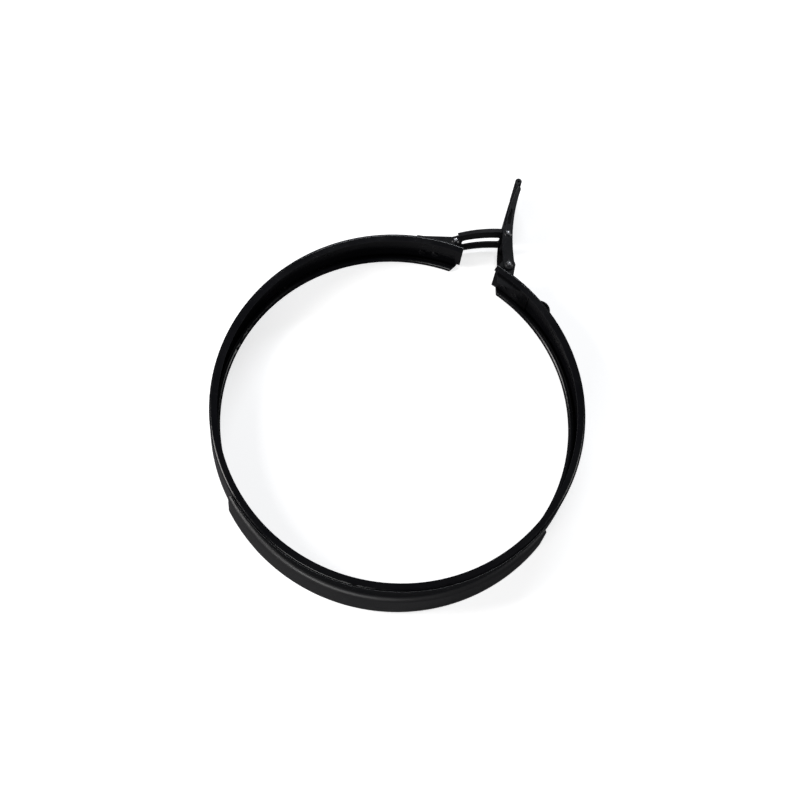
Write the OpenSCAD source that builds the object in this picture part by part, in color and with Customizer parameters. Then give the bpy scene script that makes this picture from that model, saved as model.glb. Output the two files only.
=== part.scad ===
// Over-centre lever-latch hose clamp: two channel-section half bands joined by a spring strap
// under a rubber cover, and drawn together by a lever and a hooked link.
// The ring axis is Z, its centre is the origin, and the latch gap faces +Y. Drawn latch open.

/* [Ring] */
// Outer radius of the channel band
ring_r = 152.5; // [150:0.5:156]
// Height of the band along the ring axis
ring_h = 42; // [42:0.5:46]
// Thickness of the band's sheet
sheet_t = 1.5; // [1.2:0.1:1.5]
// Depth of the plain upper flange, from the outer face
upper_flange = 6.5; // [6:0.5:8]
// Radius of the gripping land on the rolled lower lip
grip_r = 144.3; // [144:0.1:144.5]
// Radius of the band's pressed outer corners
corner_r = 2.2; // [1.8:0.1:2.6]

/* [Latch] */
// Angle between the lever's open and closed places
lever_swing = 133; // [125:1:135]
// Thickness of the lever, link and bracket sheet
latch_t = 1.4; // [1.2:0.1:1.5]
// Width of the link
link_w = 32.6; // [30:0.2:32.6]
// Radius of the rivets and pins that the latch turns on
pin_r = 2; // [1.6:0.1:2.2]
// Height of a rivet or pin head
head_h = 0.85; // [0.6:0.05:0.85]

/* [Hinge] */
// Thickness of the spring strap between the half bands
strap_t = 1.2; // [0.8:0.1:1.4]
// Gap between the half bands at the hinge
butt_gap = 0.1; // [0.1:0.05:0.5]
// Thickness of the rubber cover at its ends
cover_end_t = 3.9; // [3.5:0.1:4.5]
// Thickness of the rubber cover at its middle
cover_mid_t = 8.2; // [6.5:0.1:9]

/* [Hidden] */
$fn = 96;
top_z = ring_h / 2;
wall_r = ring_r - sheet_t;
paint_black = "#17171a";
satin_black = "#2b2b2e";
bare_steel = "#8d8f94";

// The rolled lip: a tube of sheet around a wire, flattened where it bears on the hose.
bead_r = 2.8;
bead_c = [grip_r + 2.5, -top_z + bead_r];
wire_r = bead_r - sheet_t - 0.05;

// Angles around the ring, in degrees anticlockwise from +X.
right_end_a = 83.7;
left_end_a = 95.8;
left_mitre_a = [96.4, 98.4];
right_mitre_a = [83.2, 80.4];
mitre_top_z = -15;
hinge_a = 270;
butt_half_a = butt_gap / 2 / ring_r * 180 / PI;
cover_a = [236.8, 346.3];
loop_a = 64.6;

// Latch axes. The closed places lie on the ring, and the open ones follow from the swing.
pivot_a = 81.1;
pivot = polar(158, pivot_a);
link_pivot_closed = polar(157, 70.9);
link_pivot = pivot + turned(link_pivot_closed - pivot, lever_swing);
anchor_pin_a = 99.1;
anchor = polar(156.6, anchor_pin_a);

// Half widths along Z, from the outside of the latch inwards.
lever_out = top_z - head_h - 0.05;
lever_in = lever_out - latch_t;
cheek_out = lever_in - 0.2;
cheek_in = cheek_out - latch_t;
ear_in = link_w / 2 + 0.4;
ear_out = ear_in + latch_t;

fit = 0.02;
run_fit = 0.06;
rivet_r = 2;
rivet_head_r = 3.4;

function polar(r, a) = [r * cos(a), r * sin(a)];
function turned(v, a) = [v[0] * cos(a) - v[1] * sin(a), v[0] * sin(a) + v[1] * cos(a)];
function arc_points(r, a0, a1, step = 2) =
    let (n = max(1, ceil(abs(a1 - a0) / step)))
    [for (i = [0:n]) polar(r, a0 + (a1 - a0) * i / n)];

// A wedge of the ring's plane, wide enough to cut every ring part.
module wedge(a0, a1, r = 260) {
    polygon(concat([[0, 0]], arc_points(r, a0, a1, 15)));
}

// Sweeps a section drawn as [radius, z] around the ring axis.
module around(a0, a1) {
    rotate([0, 0, a0]) rotate_extrude(angle = a1 - a0, $fn = 240) children();
}

module place_radially(r, a, z) {
    rotate([0, 0, a]) translate([r, 0, z]) rotate([0, 90, 0]) children();
}

module dome(r, h) {
    ball = (r * r + h * h) / (2 * h);
    intersection() {
        cylinder(r = r, h = h);
        translate([0, 0, h - ball]) sphere(r = ball);
    }
}

// A radial rivet: shank from the inner face to the outer face, flat head inside, dome outside.
module radial_rivet(a, z, inner, outer) {
    place_radially(inner, a, z) {
        translate([0, 0, -head_h]) cylinder(r = rivet_head_r - 0.4, h = head_h);
        cylinder(r = rivet_r, h = outer - inner);
        translate([0, 0, outer - inner]) dome(rivet_head_r, head_h);
    }
}

module radial_hole(a, z, r = rivet_r + fit) {
    place_radially(ring_r - 8, a, z) cylinder(r = r, h = 14);
}

module rounded_corner(z_sign) {
    c = [ring_r - corner_r, z_sign * (top_z - corner_r)];
    translate(c) intersection() {
        difference() {
            circle(r = corner_r, $fn = 48);
            circle(r = corner_r - sheet_t, $fn = 48);
        }
        translate([0, z_sign > 0 ? 0 : -corner_r]) square(corner_r);
    }
}

module channel_section() {
    translate([wall_r, -top_z + corner_r]) square([sheet_t, ring_h - 2 * corner_r]);
    rounded_corner(1);
    rounded_corner(-1);
    translate([ring_r - upper_flange, top_z - sheet_t])
        square([upper_flange - corner_r, sheet_t]);
    translate([bead_c[0], -top_z]) square([ring_r - corner_r - bead_c[0], sheet_t]);
}

module bead_section() {
    difference() {
        translate(bead_c) circle(r = bead_r, $fn = 48);
        translate(bead_c) circle(r = wire_r + 0.05, $fn = 48);
        translate([grip_r - bead_r, -top_z]) square([bead_r, 2 * bead_r]);
    }
}

// One half band: a channel with its lower lip rolled around a wire.
module half_band(a0, a1) {
    around(a0, a1) channel_section();
    around(a0, a1) bead_section();
}

// What a band's lower corner loses next to the latch, from an angle at its wall to one at its lip.
module end_mitre(mitre_a, end_a) {
    far_a = end_a + 4 * sign(end_a - mitre_a[1]);
    translate([0, 0, -top_z - 1]) linear_extrude(mitre_top_z + top_z + 1)
        polygon([
            polar(ring_r + 2, mitre_a[0]),
            polar(grip_r, mitre_a[1]),
            polar(grip_r - 4, mitre_a[1]),
            polar(grip_r - 4, far_a),
            polar(ring_r + 2, far_a)
        ]);
}

module left_band() {
    a0 = left_end_a;
    a1 = hinge_a - butt_half_a;
    color(paint_black) difference() {
        half_band(a0, a1);
        end_mitre(left_mitre_a, left_end_a);
        for (a = strap_rivet_angles(-1), z = strap_rivet_z) radial_hole(a, z);
        for (a = anchor_rivet_a, z = anchor_rivet_z) radial_hole(a, z);
    }
}

module right_band() {
    a0 = hinge_a - 360 + butt_half_a;
    a1 = right_end_a;
    color(paint_black) difference() {
        half_band(a0, a1);
        end_mitre(right_mitre_a, right_end_a);
        for (a = strap_rivet_angles(1), z = strap_rivet_z) radial_hole(a, z);
        for (a = bracket_rivet_a, z = bracket_rivet_z) radial_hole(a, z);
        for (side = [-1, 1]) cheek_slot(side);
    }
}

// A slot in the band's wall, open at its end, that a cheek of the latch bracket stands in.
module cheek_slot(side) {
    slot_w = latch_t + 0.3;
    translate([0, 0, side * (cheek_in + cheek_out) / 2 - slot_w / 2])
        linear_extrude(slot_w) difference() {
            wedge(cheek_slot_a, right_end_a + 2);
            circle(r = wall_r - 0.5);
        }
}

module lip_wire(a0, a1) {
    around(a0, a1) translate(bead_c) circle(r = wire_r, $fn = 32);
}

module left_lip_wire() {
    color(bare_steel) difference() {
        lip_wire(left_end_a, hinge_a - butt_half_a);
        end_mitre(left_mitre_a, left_end_a);
    }
}

module right_lip_wire() {
    color(bare_steel) difference() {
        lip_wire(hinge_a - 360 + butt_half_a, right_end_a);
        end_mitre(right_mitre_a, right_end_a);
    }
}

// The hinge: a spring strap riveted across the butt of the half bands.
strap_half_a = 18;
strap_half_w = 12;
strap_in_r = ring_r + 0.05;
strap_rivet_z = [-6, 6];

function strap_rivet_angles(side) = [for (a = [6.5, 14]) hinge_a + side * a];

module joining_strap() {
    color(bare_steel) difference() {
        around(hinge_a - strap_half_a, hinge_a + strap_half_a)
            translate([strap_in_r, -strap_half_w]) square([strap_t, 2 * strap_half_w]);
        for (side = [-1, 1], a = strap_rivet_angles(side), z = strap_rivet_z) radial_hole(a, z);
    }
}

module strap_rivets(side) {
    for (a = strap_rivet_angles(side), z = strap_rivet_z)
        radial_rivet(a, z, wall_r - 0.05, strap_in_r + strap_t + 0.02);
}

module strap_rivets_left() {
    color(bare_steel) strap_rivets(-1);
}

module strap_rivets_right() {
    color(bare_steel) strap_rivets(1);
}

// The rubber cover: thickest at its middle, where its outer face runs on an offset centre.
cover_mid_a = (cover_a[0] + cover_a[1]) / 2;
cover_half_a = (cover_a[1] - cover_a[0]) / 2;
cover_shift = (cover_mid_t - cover_end_t) / (1 - cos(cover_half_a));
cover_out_r = ring_r + cover_mid_t - cover_shift;
cover_half_h = top_z - 0.4;
cover_edge_r = 3;

module cover_outline_section() {
    flat_h = cover_half_h - cover_edge_r;
    translate([cover_out_r - 40, -cover_half_h])
        square([40 - cover_edge_r, 2 * cover_half_h]);
    translate([cover_out_r - 40, -flat_h]) square([40, 2 * flat_h]);
    for (s = [-1, 1]) translate([cover_out_r - cover_edge_r, s * flat_h])
        circle(r = cover_edge_r, $fn = 48);
}

module hinge_cover() {
    pocket_r = strap_in_r + strap_t + head_h + 0.6;
    color(satin_black) difference() {
        intersection() {
            translate(polar(cover_shift, cover_mid_a))
                rotate_extrude($fn = 240) cover_outline_section();
            translate([0, 0, -top_z]) linear_extrude(ring_h)
                wedge(cover_a[0], cover_a[1]);
        }
        cylinder(r = ring_r + 0.05, h = 2 * ring_h, center = true, $fn = 240);
        around(hinge_a - strap_half_a - 1.5, hinge_a + strap_half_a + 1.5)
            translate([ring_r - 1, -strap_half_w - 1.5])
                square([pocket_r - ring_r + 1, 2 * strap_half_w + 3]);
    }
}

// The latch bracket: two cheeks on a back plate, nested in the right band's end.
bracket_a0 = 70;
back_in_r = wall_r - 0.05 - 1.25;
bracket_rivet_a = [74.6, 79.4];
bracket_rivet_z = [-8, 8];
cheek_slot_a = 77.2;
ear_r = 5.6;
ear_side_a = 75;
gusset_r = 139;

module ear_outline() {
    intersection() {
        union() {
            translate(pivot) circle(r = ear_r);
            polygon([
                pivot + polar(ear_r, pivot_a + ear_side_a),
                pivot + polar(ear_r, pivot_a - ear_side_a),
                polar(wall_r - 0.5, cheek_slot_a + 0.2),
                polar(wall_r - 0.5, right_end_a)
            ]);
        }
        wedge(cheek_slot_a + 0.2, right_end_a);
    }
}

// The upper cheek also reaches inwards past the flange as a gusset.
module gusset_outline() {
    polygon(concat(
        arc_points(back_in_r + 0.7, bracket_a0 + 0.5, right_end_a, 1.5),
        [
            polar(gusset_r, right_end_a - 3.2),
            polar(gusset_r + 1, right_end_a - 5.6),
            polar(grip_r + 1, bracket_a0 + 3)
        ]
    ));
}

module latch_bracket() {
    color(paint_black) difference() {
        union() {
            around(bracket_a0, right_end_a) translate([back_in_r, -cheek_out])
                square([wall_r - 0.05 - back_in_r, 2 * cheek_out]);
            for (z = [cheek_in, -cheek_out]) translate([0, 0, z])
                linear_extrude(latch_t) ear_outline();
            translate([0, 0, cheek_in]) linear_extrude(latch_t) gusset_outline();
        }
        translate(concat(pivot, -40)) cylinder(r = pin_r + fit, h = 80);
        for (a = bracket_rivet_a, z = bracket_rivet_z) radial_hole(a, z);
    }
}

module latch_bracket_rivets() {
    color(bare_steel) for (a = bracket_rivet_a, z = bracket_rivet_z)
        radial_rivet(a, z, back_in_r - 0.03, ring_r + 0.02);
}

// A short rivet at each side, so that the link can pass between them when the latch shuts.
inner_head_h = 0.4;

module lever_pivot_rivets() {
    color(bare_steel) for (side = [0, 180])
        translate(concat(pivot, 0)) rotate([side, 0, 0]) {
            translate([0, 0, cheek_in - 0.02 - inner_head_h]) cylinder(r = 3, h = inner_head_h);
            translate([0, 0, cheek_in - 0.02]) cylinder(r = pin_r, h = lever_out + 0.07 - cheek_in);
            translate([0, 0, lever_out + 0.05]) dome(3.4, head_h);
        }
}

// The security loop: an arch on the band's wall that a locking pin goes through.
loop_len = 17;
loop_rise = 6.4;
loop_w = 18;

module security_loop() {
    arch_r = (loop_len * loop_len / 4 + loop_rise * loop_rise) / (2 * loop_rise);
    color(paint_black) rotate([0, 0, loop_a]) translate([0, 0, -loop_w / 2])
        linear_extrude(loop_w) difference() {
            translate([ring_r + loop_rise - arch_r, 0]) circle(r = arch_r);
            translate([ring_r + loop_rise - arch_r, 0]) circle(r = arch_r - latch_t);
            rotate(-loop_a) circle(r = ring_r + 0.02, $fn = 240);
        }
}

// The lever is drawn shut, lying along the band, and then swung open about its pivot.
lever_in_r = 153.3;
back_c = [5.3, 32.4];
back_r = 129.4;
back_bend_r = 2.4;
web_a = [54.6, 68.4];
hub_r = 4.3;
side_end_r = 15.6;
side_end_c = polar(140, 52);
tip_r = 18;
tip_sweep_a = 16;
tip_half_w = lever_out - 1;
curl_r = 2.8;
curl_bore_r = 0.95;
pin_slot_a = 65.2;

module opened() {
    translate(concat(pivot, 0)) rotate([0, 0, lever_swing])
        translate(concat(-pivot, 0)) children();
}

module lever_side_outline() {
    difference() {
        union() {
            translate(pivot) circle(r = hub_r);
            intersection() {
                translate(back_c) circle(r = back_r, $fn = 240);
                wedge(web_a[1], pivot_a);
            }
            intersection() {
                translate(back_c) circle(r = back_r - back_bend_r, $fn = 240);
                wedge(web_a[0], web_a[1] + 0.5);
            }
        }
        difference() {
            circle(r = lever_in_r, $fn = 240);
            translate(pivot) circle(r = hub_r);
        }
        translate(side_end_c) circle(r = side_end_r);
    }
}

// The pressed channel along the lever's back, drawn as [radius about back_c, z].
module lever_channel_section() {
    flat_half_w = lever_out - back_bend_r;
    translate([back_r - latch_t, -flat_half_w]) square([latch_t, 2 * flat_half_w]);
    for (s = [-1, 1]) translate([back_r - back_bend_r, s * flat_half_w]) difference() {
        intersection() {
            circle(r = back_bend_r, $fn = 48);
            translate([0, s > 0 ? 0 : -back_bend_r]) square(back_bend_r);
        }
        circle(r = back_bend_r - latch_t, $fn = 48);
    }
}

module lever_channel() {
    intersection() {
        translate(back_c) rotate_extrude($fn = 240) lever_channel_section();
        translate([0, 0, -top_z]) linear_extrude(ring_h) wedge(web_a[0], web_a[1]);
    }
}

// The finger tip turns away from the band, tangent to the back plate, and ends in a rolled curl.
module lever_tip_outline() {
    start = polar_on_back(web_a[0]);
    dir = (start - back_c) / back_r;
    c = start + dir * tip_r;
    a0 = atan2(-dir[1], -dir[0]);
    curl_start_a = tip_sweep_a - 5;
    translate(c) intersection() {
        ring_outline(tip_r, tip_r + latch_t);
        wedge(a0 - 0.5, a0 + curl_start_a, 40);
    }
    translate(c + polar(tip_r + latch_t / 2, a0 + tip_sweep_a)) ring_outline(curl_bore_r, curl_r);
}

// The point of the back plate's outer arc that lies at angle a around the ring.
function polar_on_back(a) =
    let (
        u = [cos(a), sin(a)],
        along = u * back_c,
        off = back_c * back_c - back_r * back_r
    )
    u * (along + sqrt(along * along - off));

// A slot in each side that lines up with the security loop when the latch is shut.
module pin_slot_outline() {
    slot_r = 156.8;
    slot_half_a = 2.1;
    slot_half_w = 1.5;
    for (a = [-slot_half_a, slot_half_a])
        translate(polar(slot_r, pin_slot_a + a)) circle(r = slot_half_w);
    difference() {
        intersection() {
            circle(r = slot_r + slot_half_w, $fn = 240);
            wedge(pin_slot_a - slot_half_a, pin_slot_a + slot_half_a);
        }
        circle(r = slot_r - slot_half_w, $fn = 240);
    }
}

module lever() {
    color(paint_black) opened() {
        for (z = [-lever_out, lever_in]) translate([0, 0, z]) linear_extrude(latch_t)
            difference() {
                lever_side_outline();
                translate(pivot) circle(r = pin_r + run_fit);
                translate(link_pivot_closed) circle(r = pin_r + fit);
                pin_slot_outline();
            }
        lever_channel();
        linear_extrude(2 * tip_half_w, center = true) lever_tip_outline();
    }
}

module link_pin() {
    color(bare_steel) translate(concat(link_pivot, 0)) {
        cylinder(r = pin_r, h = 2 * lever_out + 0.1, center = true);
        for (side = [0, 180]) rotate([side, 0, 0])
            translate([0, 0, lever_out + 0.05]) dome(3.4, head_h);
    }
}

// The link: a cambered plate with turned-up long edges, an eye on the link pin and an open hook
// over the anchor pin.
link_len = norm(link_pivot - anchor);
link_a = atan2(link_pivot[1] - anchor[1], link_pivot[0] - anchor[0]);
hook_r = 3.2;
eye_r = pin_r + run_fit;
link_window = [8, 40.4];
link_window_w = 9.2;

link_camber = 2.2;
hook_top = [0, hook_r];
link_chord_v = [link_len, eye_r] - hook_top;
link_chord = norm(link_chord_v);
link_tilt = atan2(link_chord_v[1], link_chord_v[0]);
link_plate_r = (link_chord * link_chord / 4 + link_camber * link_camber) / (2 * link_camber);
link_half_a = asin(link_chord / 2 / link_plate_r);
link_flange_h = 2;
link_flange_inset_a = 2;

// A strip of the link's camber, depth thick, between half_a either side of its middle.
module cambered_strip(depth, half_a) {
    translate(hook_top) rotate(link_tilt)
        translate([link_chord / 2, link_camber - link_plate_r]) difference() {
            intersection() {
                circle(r = link_plate_r + depth, $fn = 240);
                wedge(90 - half_a, 90 + half_a);
            }
            circle(r = link_plate_r, $fn = 240);
        }
}

module link_profile() {
    cambered_strip(latch_t, link_half_a);
    intersection() {
        ring_outline(hook_r, hook_r + latch_t);
        wedge(84, 186, 20);
    }
    translate([link_len, 0]) ring_outline(eye_r, eye_r + latch_t);
}

module ring_outline(inner, outer) {
    difference() {
        circle(r = outer);
        circle(r = inner);
    }
}

module link() {
    color(paint_black) translate(concat(anchor, 0)) rotate([0, 0, link_a]) difference() {
        union() {
            linear_extrude(link_w, center = true) link_profile();
            for (z = [-link_w / 2, link_w / 2 - latch_t]) translate([0, 0, z])
                linear_extrude(latch_t)
                    cambered_strip(latch_t + link_flange_h, link_half_a - link_flange_inset_a);
        }
        translate([link_window[0], 0, 0]) window_cut();
    }
}

module window_cut() {
    w = link_window_w / 2;
    corner = 2;
    len = link_window[1] - link_window[0];
    rotate([-90, 0, 0]) linear_extrude(20) {
        translate([corner, -w]) square([len - 2 * corner, 2 * w]);
        translate([0, -w + corner]) square([len, 2 * (w - corner)]);
        for (x = [corner, len - corner], z = [-w + corner, w - corner])
            translate([x, z]) circle(r = corner);
    }
}

// The anchor bracket: a plate riveted on the left band, with two ears that hold the anchor pin.
anchor_a = [101.9, 111];
anchor_plate_r = ring_r + 0.03;
anchor_rivet_a = [104.4, 108.6];
anchor_rivet_z = [-8, 8];
anchor_ear_r = 3.4;

module anchor_ear_outline() {
    difference() {
        union() {
            translate(anchor) circle(r = anchor_ear_r);
            polygon([
                anchor + polar(anchor_ear_r, anchor_pin_a),
                anchor - polar(anchor_ear_r, anchor_pin_a),
                polar(anchor_plate_r + 0.3, anchor_a[0] + 2),
                polar(anchor_plate_r + latch_t, anchor_a[1] - 2)
            ]);
        }
        circle(r = anchor_plate_r, $fn = 240);
    }
}

module anchor_bracket() {
    color(paint_black) difference() {
        union() {
            around(anchor_a[0], anchor_a[1]) translate([anchor_plate_r, -ear_out])
                square([latch_t, 2 * ear_out]);
            for (z = [ear_in, -ear_out]) translate([0, 0, z]) linear_extrude(latch_t)
                anchor_ear_outline();
        }
        translate(concat(anchor, -40)) cylinder(r = pin_r + fit, h = 80);
        for (a = anchor_rivet_a, z = anchor_rivet_z) radial_hole(a, z);
    }
}

module anchor_bracket_rivets() {
    color(bare_steel) for (a = anchor_rivet_a, z = anchor_rivet_z)
        radial_rivet(a, z, wall_r - 0.05, anchor_plate_r + latch_t + 0.02);
}

module anchor_pin() {
    color(bare_steel) translate(concat(anchor, 0)) {
        cylinder(r = pin_r, h = 2 * ear_out + 0.1, center = true);
        for (side = [0, 180]) rotate([side, 0, 0])
            translate([0, 0, ear_out + 0.05]) dome(3.2, head_h);
    }
}

left_band();
right_band();
left_lip_wire();
right_lip_wire();
joining_strap();
strap_rivets_left();
strap_rivets_right();
hinge_cover();
latch_bracket();
latch_bracket_rivets();
security_loop();
lever();
lever_pivot_rivets();
link();
link_pin();
anchor_bracket();
anchor_bracket_rivets();
anchor_pin();
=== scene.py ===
# A black lever-latch hose clamp, lying open on a pale table.
# Sheet-steel parts keep their drawn shapes and get enamel. The rubber cover and the spring
# strap are moulded here, because they bend when the ring closes.

import math

import bmesh
import bpy
from mathutils import Matrix, Vector


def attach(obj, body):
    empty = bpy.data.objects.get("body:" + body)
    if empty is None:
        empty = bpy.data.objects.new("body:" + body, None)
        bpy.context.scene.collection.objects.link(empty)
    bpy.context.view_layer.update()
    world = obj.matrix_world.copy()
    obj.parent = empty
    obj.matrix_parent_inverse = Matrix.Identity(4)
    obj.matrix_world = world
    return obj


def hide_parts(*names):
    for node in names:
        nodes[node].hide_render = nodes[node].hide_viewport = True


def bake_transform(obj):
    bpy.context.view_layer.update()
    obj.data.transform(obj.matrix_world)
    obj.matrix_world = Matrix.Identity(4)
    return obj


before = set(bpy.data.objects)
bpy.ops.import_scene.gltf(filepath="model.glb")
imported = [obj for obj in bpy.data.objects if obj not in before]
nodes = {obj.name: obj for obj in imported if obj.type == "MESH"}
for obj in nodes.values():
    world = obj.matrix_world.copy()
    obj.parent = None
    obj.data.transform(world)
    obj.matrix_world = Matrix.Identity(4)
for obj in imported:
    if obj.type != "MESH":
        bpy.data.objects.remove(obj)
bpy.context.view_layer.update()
MM = 0.001

# Ring measurements, in millimetres and degrees.
RING_R = 152.5
RING_TOP = 21.0
HINGE_A = 270.0
COVER_ENDS_A = (236.8, 346.3)
COVER_END_T = 3.9
COVER_MID_T = 8.2
COVER_HALF_H = 20.6
STRAP_IN_R = 152.55
STRAP_T = 1.2
STRAP_HALF_A = 18.0
STRAP_HALF_W = 12.0
PIVOT = (24.444, 156.098)
LINK_PIVOT = (11.740, 181.071)
ANCHOR = (-24.768, 154.629)
LOOP_A = 64.6
# How much the cover's ends and its long outer edges are rounded.
COVER_END_ROUND = 1.3
COVER_OUTER_ROUND = 4.6
COVER_STEPS = 110
STRAP_STEPS = 48
# The welds at the security loop's feet.
WELD_OFF_A = 3.4
WELD_HALF_LENGTH = 8.4
WELD_STEPS = 24
WELD_SIDES = 10


# ---------------------------------------------------------------- camera, light and table

def aim(obj, place, forward, up):
    """Stands obj at place, looking along forward with up towards the top of its view."""
    z = -Vector(forward).normalized()
    x = Vector(up).cross(z).normalized()
    y = z.cross(x)
    turn = Matrix((x, y, z)).transposed()
    obj.matrix_world = Matrix.Translation(place) @ turn.to_4x4()


CAMERA_AZIMUTH = 15.55
CAMERA_ELEVATION = 71.0
CAMERA_ROLL = 12.0
CAMERA_DISTANCE = 1.5
CAMERA_LENS = 82.5
# How far the aim stands right of and above the ring's centre.
CAMERA_AIM = (0.0026, 0.0121)


def make_camera():
    """A long lens over the front of the ring, turned a little about its own line of sight."""
    azimuth = math.radians(CAMERA_AZIMUTH)
    elevation = math.radians(CAMERA_ELEVATION)
    roll = math.radians(CAMERA_ROLL)
    back = Vector((
        math.sin(azimuth) * math.cos(elevation),
        -math.cos(azimuth) * math.cos(elevation),
        math.sin(elevation),
    ))
    right = Vector((math.cos(azimuth), math.sin(azimuth), 0.0))
    up = back.cross(right)
    rolled_up = up * math.cos(roll) - right * math.sin(roll)
    rolled_right = right * math.cos(roll) + up * math.sin(roll)
    centre_offset = rolled_right * CAMERA_AIM[0] + rolled_up * CAMERA_AIM[1]
    place = back * CAMERA_DISTANCE
    data = bpy.data.cameras.new("camera")
    data.sensor_width = 36.0
    data.lens = CAMERA_LENS
    data.dof.use_dof = False
    cam = bpy.data.objects.new("camera", data)
    bpy.context.scene.collection.objects.link(cam)
    aim(cam, place, centre_offset - place, rolled_up)
    bpy.context.scene.camera = cam


# Each lamp's name, place, width, height, power in watts and colour.
SOFTBOXES = (
    ("softbox_left", (-1.4, -0.75, 1.1), 0.6, 1.2, 30, (1.0, 0.98, 0.97)),
    ("softbox_right", (1.3, 0.8, 1.5), 0.5, 0.9, 9, (1.0, 1.0, 1.0)),
    ("strip_back", (-0.5, 1.5, 1.35), 1.3, 0.16, 17, (0.92, 0.95, 1.0)),
    ("softbox_front", (0.0, -1.8, 0.8), 1.3, 0.4, 17, (1.0, 1.0, 1.0)),
)
LAMP_UP = (0.0, 0.3, 1.0)


def softbox(name, place, width, height, power, colour):
    """A rectangular lamp that faces the ring's centre."""
    data = bpy.data.lights.new(name, "AREA")
    data.shape = "RECTANGLE"
    data.size, data.size_y = width, height
    data.energy = power
    data.color = colour
    lamp = bpy.data.objects.new(name, data)
    bpy.context.scene.collection.objects.link(lamp)
    aim(lamp, Vector(place), -Vector(place), LAMP_UP)


def light_the_table():
    for lamp in SOFTBOXES:
        softbox(*lamp)
    world = bpy.data.worlds.new("room")
    bpy.context.scene.world = world
    world.use_nodes = True
    room = world.node_tree.nodes["Background"]
    room.inputs["Color"].default_value = (0.82, 0.88, 1.0, 1.0)
    room.inputs["Strength"].default_value = 0.05
    bpy.context.scene.view_settings.view_transform = "Standard"


def lay_the_table():
    """A pale table that the eye sees brighter than the enamel does, so that black stays black."""
    bpy.ops.mesh.primitive_plane_add(size=12.0, location=(0, 0, -RING_TOP * MM))
    table = bpy.context.object
    table.name = "table"
    paint = bpy.data.materials.new("pale_table")
    paint.use_nodes = True
    tree = paint.node_tree
    bsdf = tree.nodes["Principled BSDF"]
    bsdf.inputs["Roughness"].default_value = 0.75
    bsdf.inputs["Specular IOR Level"].default_value = 0.1
    seen = tree.nodes.new("ShaderNodeLightPath").outputs["Is Camera Ray"]
    for socket, off, on in (
        ("Base Color", (0.10, 0.10, 0.105, 1.0), (0.70, 0.70, 0.70, 1.0)),
        ("Emission Color", (0.0, 0.0, 0.0, 1.0), (0.66, 0.66, 0.66, 1.0)),
    ):
        mix = tree.nodes.new("ShaderNodeMix")
        mix.data_type = "RGBA"
        mix.inputs["A"].default_value = off
        mix.inputs["B"].default_value = on
        tree.links.new(seen, mix.inputs["Factor"])
        tree.links.new(mix.outputs["Result"], bsdf.inputs[socket])
    bsdf.inputs["Emission Strength"].default_value = 1.0
    table.data.materials.append(paint)


# ---------------------------------------------------------------- shared finish effects

SOCKETS = {"value": "NodeSocketFloat", "vector": "NodeSocketVector"}


def new_group(name, inputs, outputs):
    """A shader node group with (label, kind, default) inputs and (label, kind) outputs."""
    group = bpy.data.node_groups.new(name, "ShaderNodeTree")
    for label, kind, default in inputs:
        socket = group.interface.new_socket(label, in_out="INPUT", socket_type=SOCKETS[kind])
        socket.default_value = default
    for label, kind in outputs:
        group.interface.new_socket(label, in_out="OUTPUT", socket_type=SOCKETS[kind])
    start = group.nodes.new("NodeGroupInput")
    end = group.nodes.new("NodeGroupOutput")
    return group, start, end


def math_node(tree, operation, a, b, clamp=False):
    """A sum, difference or product of two numbers or sockets."""
    node = tree.nodes.new("ShaderNodeMath")
    node.operation = operation
    node.use_clamp = clamp
    for socket, value in zip(node.inputs, (a, b)):
        if isinstance(value, (int, float)):
            socket.default_value = value
        else:
            tree.links.new(value, socket)
    return node.outputs[0]


def noise(tree, scale, detail=3.0, roughness=0.55, vector=None):
    """Noise of the given scale over the part's own coordinates, or over another vector."""
    node = tree.nodes.new("ShaderNodeTexNoise")
    node.inputs["Detail"].default_value = detail
    node.inputs["Roughness"].default_value = roughness
    if isinstance(scale, (int, float)):
        node.inputs["Scale"].default_value = scale
    else:
        tree.links.new(scale, node.inputs["Scale"])
    if vector is None:
        vector = tree.nodes.new("ShaderNodeTexCoord").outputs["Object"]
    tree.links.new(vector, node.inputs["Vector"])
    return node.outputs["Fac"]


def remap(tree, value, low, high, to_low=0.0, to_high=1.0):
    """Turns the span from low to high into the span from to_low to to_high, and clamps it."""
    node = tree.nodes.new("ShaderNodeMapRange")
    tree.links.new(value, node.inputs["Value"])
    for label, number in (("From Min", low), ("From Max", high),
                          ("To Min", to_low), ("To Max", to_high)):
        if isinstance(number, (int, float)):
            node.inputs[label].default_value = number
        else:
            tree.links.new(number, node.inputs[label])
    return node.outputs["Result"]


def make_edge_wear_group():
    """Paint rubbed through along edges: 1 where bare metal shows."""
    group, start, end = new_group(
        "edge_wear",
        [("Width", "value", 0.0006), ("Amount", "value", 0.5), ("Patchiness", "value", 90.0)],
        [("Edge", "value"), ("Bare", "value")],
    )
    bevel = group.nodes.new("ShaderNodeBevel")
    bevel.samples = 6
    group.links.new(start.outputs["Width"], bevel.inputs["Radius"])
    flat = group.nodes.new("ShaderNodeNewGeometry")
    dot = group.nodes.new("ShaderNodeVectorMath")
    dot.operation = "DOT_PRODUCT"
    group.links.new(bevel.outputs["Normal"], dot.inputs[0])
    group.links.new(flat.outputs["Normal"], dot.inputs[1])
    edge = remap(group, dot.outputs["Value"], 0.995, 0.82)
    patches = noise(group, start.outputs["Patchiness"], 5.0, 0.7)
    low = math_node(group, "SUBTRACT", 1.0, start.outputs["Amount"])
    high = math_node(group, "ADD", low, 0.12)
    worn = remap(group, patches, low, high)
    bare = math_node(group, "MULTIPLY", edge, worn, clamp=True)
    group.links.new(edge, end.inputs["Edge"])
    group.links.new(bare, end.inputs["Bare"])
    return group


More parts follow.
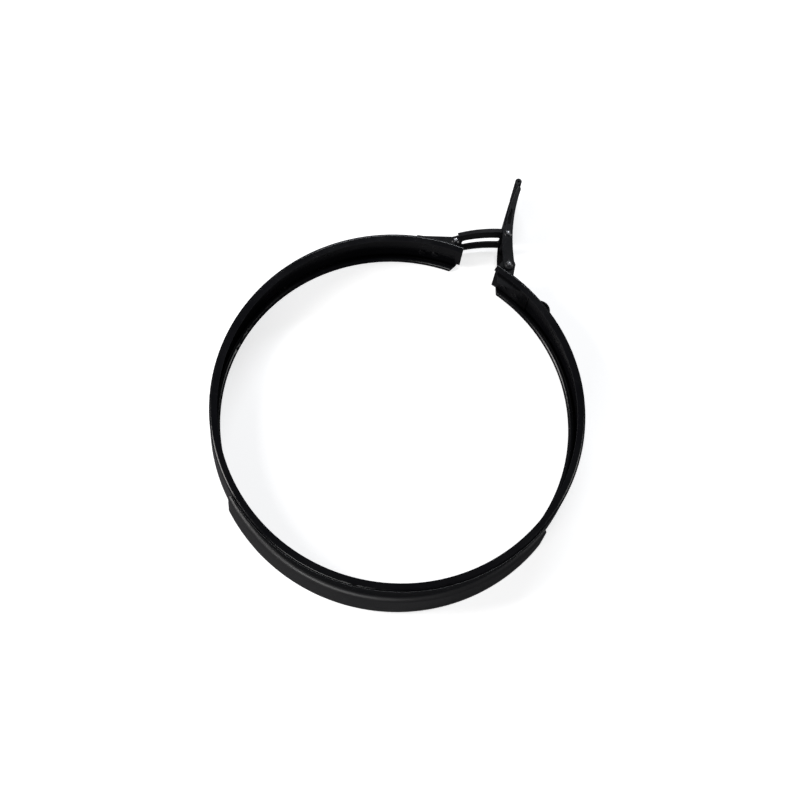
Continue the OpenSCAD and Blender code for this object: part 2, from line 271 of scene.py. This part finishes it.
def make_orange_peel_group():
    """The soft ripple of sprayed or dipped enamel, with a few specks of dirt under it."""
    group, start, end = new_group(
        "orange_peel",
        [("Ripple size", "value", 420.0), ("Gloss", "value", 0.25), ("Spread", "value", 0.1)],
        [("Height", "value"), ("Roughness", "value")],
    )
    ripple = noise(group, start.outputs["Ripple size"], 1.5, 0.4)
    cloud = noise(group, 35.0, 4.0, 0.6)
    specks = noise(group, 2600.0, 1.0, 0.5)
    speck_mask = remap(group, specks, 0.74, 0.80)
    height = math_node(group, "ADD", ripple, math_node(group, "MULTIPLY", speck_mask, 0.6))
    half = math_node(group, "MULTIPLY", start.outputs["Spread"], 0.5)
    low = math_node(group, "SUBTRACT", start.outputs["Gloss"], half)
    high = math_node(group, "ADD", start.outputs["Gloss"], half)
    rough = remap(group, cloud, 0.32, 0.68, low, high)
    group.links.new(height, end.inputs["Height"])
    group.links.new(rough, end.inputs["Roughness"])
    return group


def make_scuff_group():
    """Fine handling scratches that run along one direction, and a haze of dust."""
    group, start, end = new_group(
        "scuffs",
        [("Amount", "value", 0.4), ("Stretch", "vector", (40.0, 900.0, 900.0))],
        [("Scratch", "value"), ("Haze", "value")],
    )
    coords = group.nodes.new("ShaderNodeTexCoord").outputs["Object"]
    scale = group.nodes.new("ShaderNodeVectorMath")
    scale.operation = "MULTIPLY"
    group.links.new(coords, scale.inputs[0])
    group.links.new(start.outputs["Stretch"], scale.inputs[1])
    lines = noise(group, 1.0, 2.0, 0.5, scale.outputs["Vector"])
    thin = remap(group, lines, 0.66, 0.70)
    where = remap(group, noise(group, 55.0, 3.0), 0.50, 0.66)
    scratch = math_node(group, "MULTIPLY", math_node(group, "MULTIPLY", thin, where),
                        start.outputs["Amount"], clamp=True)
    haze = math_node(group, "MULTIPLY", remap(group, noise(group, 22.0, 5.0, 0.65), 0.40, 0.75),
                     start.outputs["Amount"], clamp=True)
    group.links.new(scratch, end.inputs["Scratch"])
    group.links.new(haze, end.inputs["Haze"])
    return group


def make_crown_wear_group():
    """1 on the crowns of a pin that stands along Z, where paint rubs off first."""
    group, start, end = new_group(
        "crown_wear",
        [("Centre", "vector", (0.0, 0.0, 0.0)), ("Radius", "value", 0.0022)],
        [("Bare", "value")],
    )
    coords = group.nodes.new("ShaderNodeTexCoord").outputs["Object"]
    flat = group.nodes.new("ShaderNodeVectorMath")
    flat.operation = "MULTIPLY"
    group.links.new(coords, flat.inputs[0])
    flat.inputs[1].default_value = (1.0, 1.0, 0.0)
    distance = group.nodes.new("ShaderNodeVectorMath")
    distance.operation = "DISTANCE"
    group.links.new(flat.outputs["Vector"], distance.inputs[0])
    group.links.new(start.outputs["Centre"], distance.inputs[1])
    ragged = remap(group, noise(group, 700.0, 4.0, 0.65), 0.3, 0.7, -0.0009, 0.0009)
    reach = math_node(group, "ADD", distance.outputs["Value"], ragged)
    inner = math_node(group, "MULTIPLY", start.outputs["Radius"], 0.75)
    bare = remap(group, reach, start.outputs["Radius"], inner)
    group.links.new(bare, end.inputs["Bare"])
    return group


EDGE_WEAR = make_edge_wear_group()
ORANGE_PEEL = make_orange_peel_group()
SCUFFS = make_scuff_group()
CROWN_WEAR = make_crown_wear_group()


# ---------------------------------------------------------------- finishes

class Finish:
    """One material under construction, with short calls for what the finishes share."""

    def __init__(self, name):
        self.material = bpy.data.materials.new(name)
        self.material.use_nodes = True
        self.tree = self.material.node_tree
        self.bsdf = self.tree.nodes["Principled BSDF"]

    def effect(self, group, **values):
        node = self.tree.nodes.new("ShaderNodeGroup")
        node.node_tree = group
        for label, value in values.items():
            node.inputs[label.replace("_", " ")].default_value = value
        return node.outputs

    def mix_colour(self, factor, a, b):
        node = self.tree.nodes.new("ShaderNodeMix")
        node.data_type = "RGBA"
        self.tree.links.new(factor, node.inputs["Factor"])
        for label, colour in (("A", a), ("B", b)):
            if isinstance(colour, tuple):
                node.inputs[label].default_value = (*colour, 1.0)
            else:
                self.tree.links.new(colour, node.inputs[label])
        return node.outputs["Result"]

    def mix_value(self, factor, a, b):
        return remap(self.tree, factor, 0.0, 1.0, a, b)

    def facing_up(self, low, high):
        """0 below the low and 1 above the high upward share of the surface's own direction."""
        geometry = self.tree.nodes.new("ShaderNodeNewGeometry")
        parts = self.tree.nodes.new("ShaderNodeSeparateXYZ")
        self.tree.links.new(geometry.outputs["Normal"], parts.inputs["Vector"])
        return remap(self.tree, parts.outputs["Z"], low, high)

    def bump(self, height, strength, distance):
        node = self.tree.nodes.new("ShaderNodeBump")
        node.inputs["Strength"].default_value = strength
        node.inputs["Distance"].default_value = distance
        self.tree.links.new(height, node.inputs["Height"])
        self.feed("Normal", node.outputs["Normal"])

    def feed(self, label, source):
        self.tree.links.new(source, self.bsdf.inputs[label])

    def keep(self, **values):
        for label, value in values.items():
            self.bsdf.inputs[label.replace("_", " ")].default_value = value


def enamel(name, gloss, wear, ripple, scuffing, stretch=(40.0, 900.0, 900.0)):
    """Black enamel over steel: deep black, faint ripple, scuffs, and edges rubbed to steel."""
    f = Finish(name)
    edge = f.effect(EDGE_WEAR, Width=0.0005, Amount=wear, Patchiness=110.0)
    peel = f.effect(ORANGE_PEEL, Ripple_size=ripple, Gloss=gloss, Spread=0.12)
    marks = f.effect(SCUFFS, Amount=scuffing, Stretch=stretch)
    dusty = f.mix_colour(marks["Haze"], (0.0026, 0.0026, 0.0034), (0.0075, 0.0075, 0.0078))
    marked = f.mix_colour(marks["Scratch"], dusty, (0.030, 0.030, 0.032))
    thinned = f.mix_colour(edge["Edge"], marked, (0.0075, 0.0075, 0.009))
    f.feed("Base Color", f.mix_colour(edge["Bare"], thinned, (0.16, 0.16, 0.17)))
    f.feed("Metallic", math_node(f.tree, "MULTIPLY", edge["Bare"], 0.9))
    hazed = math_node(f.tree, "ADD", peel["Roughness"],
                      math_node(f.tree, "MULTIPLY", marks["Haze"], 0.12))
    f.feed("Roughness", f.mix_value(edge["Bare"], hazed, 0.38))
    f.bump(peel["Height"], 0.16, 0.0003)
    f.keep(Specular_IOR_Level=0.32)
    return f.material


def rubbed_rivet(name, centre):
    """A pin or rivet whose black finish is worn off its crowns."""
    f = Finish(name)
    crown = f.effect(CROWN_WEAR, Centre=(centre[0] * MM, centre[1] * MM, 0.0), Radius=0.0015)
    marks = f.effect(SCUFFS, Amount=0.6, Stretch=(700.0, 700.0, 90.0))
    peel = f.effect(ORANGE_PEEL, Ripple_size=700.0, Gloss=0.3, Spread=0.14)
    steel = f.mix_colour(marks["Haze"], (0.46, 0.46, 0.47), (0.30, 0.29, 0.28))
    black = f.mix_colour(marks["Scratch"], (0.004, 0.004, 0.005), (0.05, 0.05, 0.05))
    f.feed("Base Color", f.mix_colour(crown["Bare"], black, steel))
    f.feed("Metallic", crown["Bare"])
    f.feed("Roughness", f.mix_value(crown["Bare"], peel["Roughness"], 0.30))
    f.bump(peel["Height"], 0.25, 0.0002)
    return f.material


def drawn_steel(name, light, dark, roughness, stretch):
    """Steel with drawing lines and slight staining."""
    f = Finish(name)
    marks = f.effect(SCUFFS, Amount=0.8, Stretch=stretch)
    peel = f.effect(ORANGE_PEEL, Ripple_size=900.0, Gloss=roughness, Spread=0.16)
    stained = f.mix_colour(marks["Haze"], light, dark)
    f.feed("Base Color", f.mix_colour(marks["Scratch"], stained, tuple(0.5 * c for c in dark)))
    f.feed("Roughness", peel["Roughness"])
    f.bump(peel["Height"], 0.2, 0.0002)
    f.keep(Metallic=1.0)
    return f.material


def moulded_rubber(name):
    """Satin moulded rubber: a fine pebbled skin with dust haze and scuffs; its flat top is
    painted near-black as painted shade, and is glossier.
    """
    f = Finish(name)
    skin = f.effect(ORANGE_PEEL, Ripple_size=2400.0, Gloss=0.40, Spread=0.10)
    marks = f.effect(SCUFFS, Amount=0.55, Stretch=(120.0, 120.0, 700.0))
    edge = f.effect(EDGE_WEAR, Width=0.0012, Amount=0.55, Patchiness=60.0)
    base = f.mix_colour(marks["Haze"], (0.0105, 0.0105, 0.0112), (0.017, 0.017, 0.017))
    rubbed = f.mix_colour(edge["Bare"], base, (0.024, 0.024, 0.025))
    marked = f.mix_colour(marks["Scratch"], rubbed, (0.038, 0.038, 0.038))
    # Painted shade: faces that look up are painted near-black, so the flat top reads darker than
    # the grey sides.
    painted_shade_top = f.facing_up(0.90, 0.995)
    f.feed("Base Color", f.mix_colour(painted_shade_top, marked, (0.0026, 0.0026, 0.003)))
    f.feed("Roughness", f.mix_value(painted_shade_top, skin["Roughness"], 0.26))
    f.bump(skin["Height"], 0.30, 0.00025)
    f.keep(Specular_IOR_Level=0.5)
    return f.material


FINISHES = {
    "band_enamel": enamel("band_enamel", 0.20, 0.36, 420.0, 0.30),
    "latch_enamel": enamel("latch_enamel", 0.30, 0.42, 560.0, 0.55, (900.0, 60.0, 900.0)),
    "rivet_enamel": enamel("rivet_enamel", 0.26, 0.50, 800.0, 0.50, (500.0, 500.0, 500.0)),
    "pivot_steel": rubbed_rivet("pivot_steel", PIVOT),
    "link_pin_steel": rubbed_rivet("link_pin_steel", LINK_PIVOT),
    "anchor_steel": rubbed_rivet("anchor_steel", ANCHOR),
    "rivet_steel": drawn_steel("rivet_steel", (0.42, 0.42, 0.43), (0.27, 0.26, 0.25), 0.38,
                               (600.0, 600.0, 80.0)),
    "lip_wire_steel": drawn_steel("lip_wire_steel", (0.10, 0.10, 0.105), (0.05, 0.05, 0.05),
                                  0.45, (600.0, 600.0, 600.0)),
    "blued_spring": drawn_steel("blued_spring", (0.13, 0.15, 0.22), (0.08, 0.08, 0.10),
                                0.32, (60.0, 60.0, 900.0)),
    "cover_rubber": moulded_rubber("cover_rubber"),
}

NODE_FINISH = {
    "left_band": "band_enamel",
    "right_band": "band_enamel",
    "left_lip_wire": "lip_wire_steel",
    "right_lip_wire": "lip_wire_steel",
    "joining_strap": "blued_spring",
    "strap_rivets_left": "rivet_steel",
    "strap_rivets_right": "rivet_steel",
    "hinge_cover": "cover_rubber",
    "latch_bracket": "latch_enamel",
    "latch_bracket_rivets": "rivet_enamel",
    "security_loop": "latch_enamel",
    "lever": "latch_enamel",
    "lever_pivot_rivets": "pivot_steel",
    "link": "latch_enamel",
    "link_pin": "link_pin_steel",
    "anchor_bracket": "latch_enamel",
    "anchor_bracket_rivets": "rivet_enamel",
    "anchor_pin": "anchor_steel",
}


# How much the sharp edges of each small sheet part are broken, in millimetres.
BROKEN_EDGES = {
    "lever": 0.25,
    "link": 0.30,
    "anchor_bracket": 0.25,
    "latch_bracket": 0.20,
    "security_loop": 0.30,
}


def finish_drawn_parts():
    """Gives each drawn part its finish, and breaks the sharp edges of the small sheet parts."""
    for name, finish in NODE_FINISH.items():
        part = nodes[name]
        part.data.materials.clear()
        part.data.materials.append(FINISHES[finish])
        if name in BROKEN_EDGES:
            weld = part.modifiers.new("join_corners", "WELD")
            weld.merge_threshold = 0.002 * MM
            bevel = part.modifiers.new("broken_edges", "BEVEL")
            bevel.limit_method = "ANGLE"
            bevel.angle_limit = math.radians(40)
            bevel.width = BROKEN_EDGES[name] * MM
            bevel.segments = 2


# ---------------------------------------------------------------- moulded pieces

def polar(radius, angle, height=0.0):
    """A point of the ring in metres, from millimetres and degrees."""
    a = math.radians(angle)
    return Vector((radius * math.cos(a), radius * math.sin(a), height)) * MM


def piece_from_mesh(name, mesh, finish):
    """A smooth-shaded object made of the mesh, with its finish."""
    mesh.normal_update()
    data = bpy.data.meshes.new(name)
    mesh.to_mesh(data)
    mesh.free()
    for face in data.polygons:
        face.use_smooth = True
    data.materials.append(FINISHES[finish])
    obj = bpy.data.objects.new(name, data)
    bpy.context.scene.collection.objects.link(obj)
    return obj


def swept_piece(name, stations, finish):
    """Joins a run of closed sections, each a list of points, and closes its two ends."""
    mesh = bmesh.new()
    rings = [[mesh.verts.new(p) for p in section] for section in stations]
    count = len(rings[0])
    for near, far in zip(rings, rings[1:]):
        for i in range(count):
            j = (i + 1) % count
            mesh.faces.new((near[i], near[j], far[j], far[i]))
    mesh.faces.new(rings[0][::-1])
    mesh.faces.new(rings[-1])
    bmesh.ops.recalc_face_normals(mesh, faces=mesh.faces)
    return piece_from_mesh(name, mesh, finish)


def rounded_section(r_in, r_out, half_h, inner_round, outer_round, steps=7):
    """A rounded rectangle as (radius, z) in millimetres, from its lower outer edge."""
    corners = [
        (r_out - outer_round, -half_h + outer_round, outer_round, -90),
        (r_out - outer_round, half_h - outer_round, outer_round, 0),
        (r_in + inner_round, half_h - inner_round, inner_round, 90),
        (r_in + inner_round, -half_h + inner_round, inner_round, 180),
    ]
    points = []
    for r, z, bend, start in corners:
        for i in range(steps + 1):
            a = math.radians(start + 90.0 * i / steps)
            points.append((r + bend * math.cos(a), z + bend * math.sin(a)))
    return points


def cover_outer_radius(angle):
    """The cover's outer face: a circle whose centre is set off to the cover's middle."""
    middle = sum(COVER_ENDS_A) / 2
    half = (COVER_ENDS_A[1] - COVER_ENDS_A[0]) / 2
    shift = (COVER_MID_T - COVER_END_T) / (1 - math.cos(math.radians(half)))
    radius = RING_R + COVER_MID_T - shift
    off = math.radians(angle - middle)
    return shift * math.cos(off) + math.sqrt(radius ** 2 - (shift * math.sin(off)) ** 2)


def mould_cover():
    """The rubber cover, with rounded long edges and ends that are rounded over a little."""
    a0, a1 = COVER_ENDS_A
    end_gap_a = 0.6
    skin_gap = 0.08
    inner_round = 0.5
    least_edge = 0.7
    angles = [a0 + (a1 - a0) * i / COVER_STEPS for i in range(COVER_STEPS + 1)]
    end_steps = [(1 - math.cos(math.radians(t)), math.sin(math.radians(t)))
                 for t in (0, 22, 45, 67, 90)]
    mm_per_degree = RING_R * math.pi / 180
    ordered = [(a0 + COVER_END_ROUND * back / mm_per_degree, grow) for back, grow in end_steps]
    ordered += [(a, 1.0) for a in angles if a0 + end_gap_a < a < a1 - end_gap_a]
    ordered += [(a1 - COVER_END_ROUND * back / mm_per_degree, grow)
                for back, grow in end_steps[::-1]]
    stations = []
    for angle, grow in ordered:
        inset = COVER_END_ROUND * (1.0 - grow)
        r_out = cover_outer_radius(angle) - inset
        half_h = COVER_HALF_H - inset
        outer_round = min(COVER_OUTER_ROUND, r_out - RING_R - least_edge)
        section = rounded_section(RING_R + skin_gap, r_out, half_h, inner_round, outer_round)
        stations.append([polar(r, angle, z) for r, z in section])
    cover = swept_piece("cover_moulding", stations, "cover_rubber")
    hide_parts("hinge_cover")
    return cover


def bend_strap():
    """The spring strap across the joint of the half bands."""
    section = rounded_section(STRAP_IN_R, STRAP_IN_R + STRAP_T, STRAP_HALF_W, 0.2, 0.3, 3)
    stations = []
    for i in range(STRAP_STEPS + 1):
        angle = HINGE_A - STRAP_HALF_A + 2 * STRAP_HALF_A * i / STRAP_STEPS
        stations.append([polar(r, angle, z) for r, z in section])
    strap = swept_piece("spring_strap", stations, "blued_spring")
    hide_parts("joining_strap")
    return strap


def hinge_between(piece):
    """Bakes the piece's placement into its mesh."""
    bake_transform(piece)


def weld_beads():
    """The two small welds that hold the security loop's feet on the band."""
    mm_per_degree = 2.66
    flatness = 1.25
    proud = 0.15
    for side, angle in (("near", LOOP_A - WELD_OFF_A), ("far", LOOP_A + WELD_OFF_A)):
        stations = []
        for i in range(WELD_STEPS + 1):
            along = -WELD_HALF_LENGTH + 2 * WELD_HALF_LENGTH * i / WELD_STEPS
            ripple = 0.12 * math.sin(along * 4.1) + 0.08 * math.sin(along * 1.7 + 1.0)
            taper = math.sqrt(max(0.04, 1 - (along / 8.8) ** 4))
            radius = (0.95 + ripple) * taper
            section = []
            for j in range(WELD_SIDES):
                t = 2 * math.pi * j / WELD_SIDES
                out = radius * math.cos(t)
                across = radius * flatness * math.sin(t)
                section.append(
                    polar(RING_R + proud + out, angle + across / mm_per_degree, along))
            stations.append(section)
        bead = swept_piece("loop_weld_" + side, stations, "latch_enamel")
        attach(bead, "right_half")


make_camera()
light_the_table()
lay_the_table()
finish_drawn_parts()
hinge_between(mould_cover())
hinge_between(bend_strap())
weld_beads()
